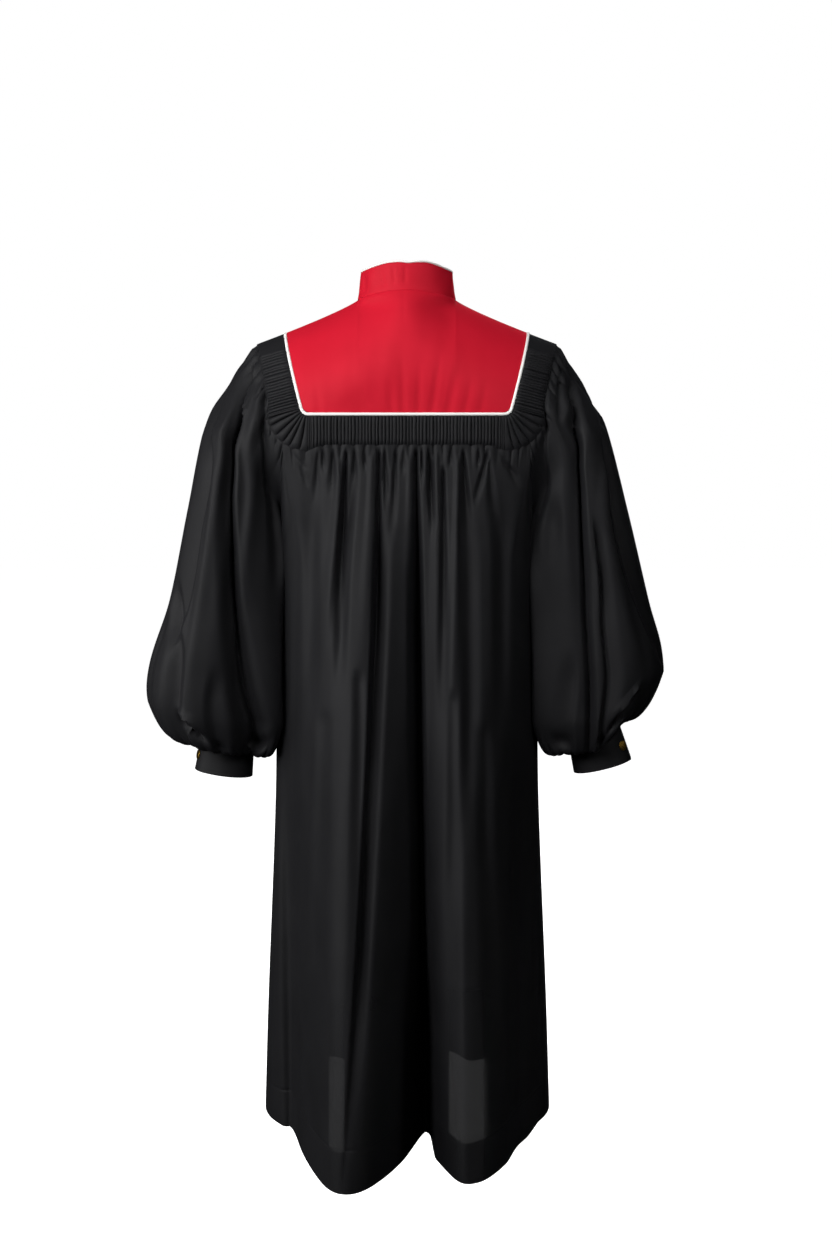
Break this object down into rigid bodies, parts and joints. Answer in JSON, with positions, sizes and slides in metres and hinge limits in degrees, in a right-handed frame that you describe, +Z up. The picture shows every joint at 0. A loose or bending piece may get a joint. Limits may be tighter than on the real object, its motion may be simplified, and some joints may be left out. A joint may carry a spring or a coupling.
{
  "type": "choir robe",
  "caption": "Black choir robe in its worn shape: red yoke and stand collar with white piping, fluted band, gathered body, bishop sleeves on buttoned cuffs.",
  "frame": {"origin": "middle of the neck, level with the collar seam at the sides, where the wearer's neck and shoulders hold the robe", "axes": "+X to the wearer's left, +Y behind the wearer, +Z up"},
  "size_m": [0.7471, 0.5167, 1.2466],
  "materials": {
    "black_cloth": "plain-woven polyester, matt with a faint sheen, slightly sheer",
    "red_cloth": "plain-woven polyester, soft sheen",
    "white_piping": "corded satin bias binding",
    "gold_button": "polished gold-coloured shank button"
  },
  "bodies": {
    "root": {"collar": "red_cloth", "collar_piping": "white_piping", "back_yoke": "red_cloth", "front_yoke_left": "red_cloth", "front_yoke_right": "red_cloth", "piping_back": "white_piping", "piping_front_left": "white_piping", "piping_front_right": "white_piping", "fluting_back": "black_cloth", "fluting_front_left": "black_cloth", "fluting_front_right": "black_cloth", "back": "black_cloth", "front_left": "black_cloth", "front_right": "black_cloth", "sleeve_left": "black_cloth", "sleeve_right": "black_cloth", "cuff_left": "black_cloth", "cuff_right": "black_cloth", "button_left": "gold_button", "button_right": "gold_button"}
  },
  "joints": []
}
